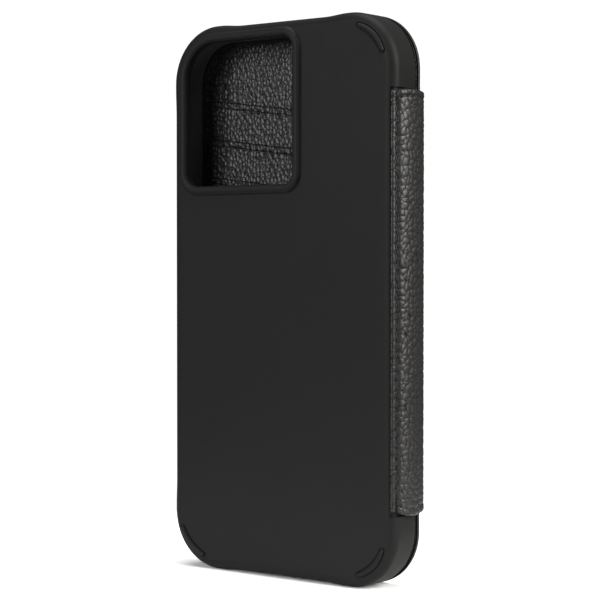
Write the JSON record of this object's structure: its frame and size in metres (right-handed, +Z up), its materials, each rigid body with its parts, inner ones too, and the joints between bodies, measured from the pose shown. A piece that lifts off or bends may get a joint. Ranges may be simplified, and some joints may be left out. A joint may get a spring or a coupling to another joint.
{
  "type": "phone wallet case",
  "caption": "Black moulded phone tray with a camera opening, a stitched pebbled-leather spine and a hinged folio cover lined with slanted card slots.",
  "frame": {"origin": "middle of the bounding box in X and Y, on the surface that the case stands on", "axes": "+Z up the case's height, +X towards the leather spine, +Y from the tray's back to the folio cover"},
  "size_m": [0.0808, 0.0152, 0.1552],
  "materials": {
    "shell_polymer": "soft-touch charcoal polymer, very fine grain",
    "liner_rubber": "dull black elastomer with a fine moulded texture",
    "microfibre": "short-pile black microfibre",
    "leather_flange": "pebbled black leather",
    "leather_spine": "pebbled black leather, semi-matt",
    "leather_cover": "pebbled black leather, semi-matt",
    "leather_lining": "fine-grained black leather",
    "thread": "black waxed thread",
    "keeper_steel": "plain steel strip, hidden",
    "magnet_metal": "nickel-plated magnet, hidden",
    "button_rubber": "satin black elastomer",
    "fibreboard": "stiff fibreboard, hidden"
  },
  "bodies": {
    "tray": {"outer_shell": "shell_polymer", "shock_liner": "liner_rubber", "back_lining": "microfibre", "spine_flange": "leather_flange", "flange_stitching": "thread", "closure_keepers": "keeper_steel"},
    "side_button": {"side_button": "button_rubber"},
    "volume_up_button": {"volume_up_button": "button_rubber"},
    "volume_down_button": {"volume_down_button": "button_rubber"},
    "spine": {"spine_leather": "leather_spine", "spine_board": "fibreboard", "spine_lining": "microfibre", "spine_stitching": "thread"},
    "cover": {"cover_leather": "leather_cover", "cover_board": "fibreboard", "cover_lining": "leather_lining", "card_pocket_upper": "leather_lining", "card_pocket_middle": "leather_lining", "card_pocket_lower": "leather_lining", "closure_magnets": "magnet_metal", "cover_stitching": "thread", "slot_stitching": "thread"}
  },
  "joints": [
    {"name": "spine_fold", "type": "hinge", "parent": "tray", "child": "spine", "pos_m": [0.03935, -0.00375, 0.0776], "axis": [0, 0, -1], "range_deg": [0, 180]},
    {"name": "cover_fold", "type": "hinge", "parent": "spine", "child": "cover", "pos_m": [0.03842, 0.00585, 0.0776], "axis": [0, 0, -1], "range_deg": [0, 180]},
    {"name": "side_button_press", "type": "slide", "parent": "tray", "child": "side_button", "axis": [1, 0, 0], "range_m": [0, 0.0003], "stiffness_N_per_m": 2000},
    {"name": "volume_up_press", "type": "slide", "parent": "tray", "child": "volume_up_button", "axis": [-1, 0, 0], "range_m": [0, 0.0003], "stiffness_N_per_m": 2000},
    {"name": "volume_down_press", "type": "slide", "parent": "tray", "child": "volume_down_button", "axis": [-1, 0, 0], "range_m": [0, 0.0003], "stiffness_N_per_m": 2000}
  ]
}
